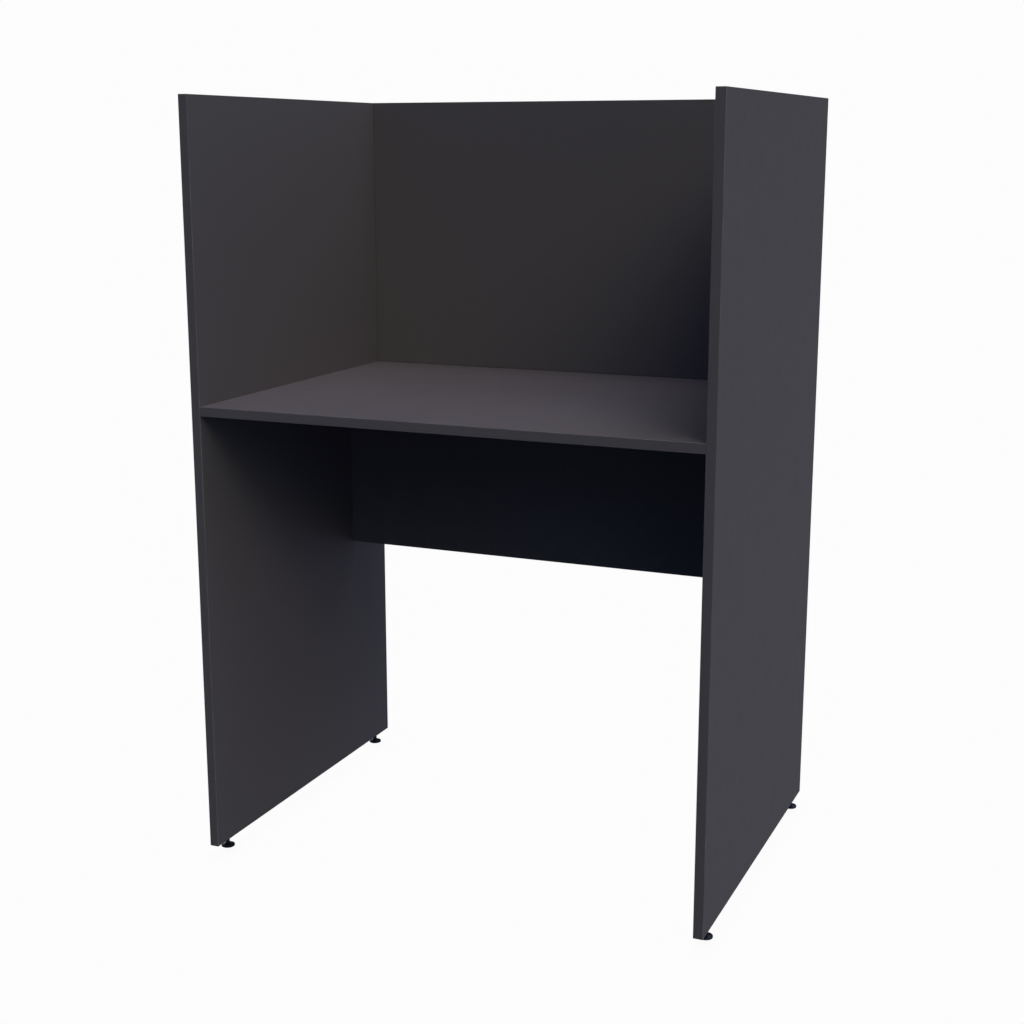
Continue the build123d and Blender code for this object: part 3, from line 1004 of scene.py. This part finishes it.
# Soft lights, all infinitely far away: azimuth from +X towards +Y and height above the horizon, in
# degrees, how tightly the light gathers round its middle, and its colour.
LIGHTS = {
    "key": (-46, 40, 34, (9.95, 8.6, 6.5)),
    "key_left": (-64, 24, 34, (0.65, 1.05, 1.2)),
    "overhead": (0, 74, 34, (9.9, 9.2, 10.4)),
    "rear_above": (75, 55, 34, (3.1, 3.2, 4.0)),
    "right_low": (0, 8, 14, (1.03, 1.42, 1.62)),
    "left_fill": (242, 33, 14, (0.12, 0.22, 0.59)),
    "rear_fill": (150, 6, 10, (2.9, 2.75, 2.75)),
    "floor_glow_front": (315, -15, 12, (0.39, 0.4, 0.61)),
    "floor_glow_left": (225, -15, 12, (0.18, 0.22, 0.31)),
    "floor_glow_rear": (45, -15, 12, (0.39, 0.37, 0.51)),
}


def floor():
    """A plain pale floor of the backdrop's own white, with a faint painted shade under the feet.

    It lies just below the lowest reach of the feet, so it doesn't cut them off when they are screwed out.
    """
    reach = min(joint["range_m"][0] for joint in frame["joints"] if joint["type"] == "slide")
    place = Matrix.Translation((0.0, 0.0, reach - FLOOR_GAP))
    bm = bmesh.new()
    bmesh.ops.create_grid(bm, x_segments=1, y_segments=1, size=FLOOR_HALF_WIDTH, matrix=place)
    mesh = bpy.data.meshes.new("floor")
    bm.to_mesh(mesh)
    bm.free()
    n = Finish("floor_white")
    # The shade under the feet is painted: the white is darkened where ambient occlusion finds the floor's
    # open sky blocked.
    open_sky = n.add("AmbientOcclusion", {"Distance": CONTACT_REACH}, "AO", samples=CONTACT_SAMPLES)
    white_with_painted_shade = n.scaled(WHITE, n.maths("MULTIPLY_ADD", open_sky, CONTACT_PAINTED_SHADE, 1 - CONTACT_PAINTED_SHADE))
    seen = n.add("Emission", {"Color": white_with_painted_shade})
    unseen = n.add("BsdfTransparent")
    shader = n.add("MixShader", {0: n.add("LightPath", None, "Is Camera Ray"), 1: unseen, 2: seen})
    n.add("OutputMaterial", {"Surface": shader})
    mesh.materials.append(n.material)
    piece = bpy.data.objects.new("floor", mesh)
    bpy.context.scene.collection.objects.link(piece)


def daylight():
    """The studio's soft lights. The camera itself sees only a white backdrop."""
    world = bpy.data.worlds.new("studio")
    world.use_nodes = True
    bpy.context.scene.world = world
    n = Nodes(world.node_tree)
    direction = n.add("TexCoord", None, "Generated")
    total = None
    for azimuth, height, gather, colour in LIGHTS.values():
        turn, rise = math.radians(azimuth), math.radians(height)
        middle = (math.cos(rise) * math.cos(turn), math.cos(rise) * math.sin(turn), math.sin(rise))
        cosine = n.vectors("DOT_PRODUCT", direction, middle, output=1)
        share = n.maths("EXPONENT", n.maths("MULTIPLY_ADD", cosine, gather, -gather))
        light = n.scaled(colour, share)
        total = n.vectors("ADD", total, light) if total else light
    colour = n.mix(n.add("LightPath", None, "Is Camera Ray"), total, WHITE)
    n.add("OutputWorld", {"Surface": n.add("Background", {"Color": colour})})


def camera():
    lens = bpy.data.cameras.new("camera")
    lens.lens = CAMERA_LENS
    lens.sensor_width = CAMERA_SENSOR
    eye = bpy.data.objects.new("camera", lens)
    eye.location = CAMERA_PLACE
    eye.rotation_euler = Euler((CAMERA_TILT, 0.0, CAMERA_TURN))
    bpy.context.scene.collection.objects.link(eye)
    bpy.context.scene.camera = eye


floor()
daylight()
camera()
bpy.context.scene.view_settings.view_transform = "Standard"
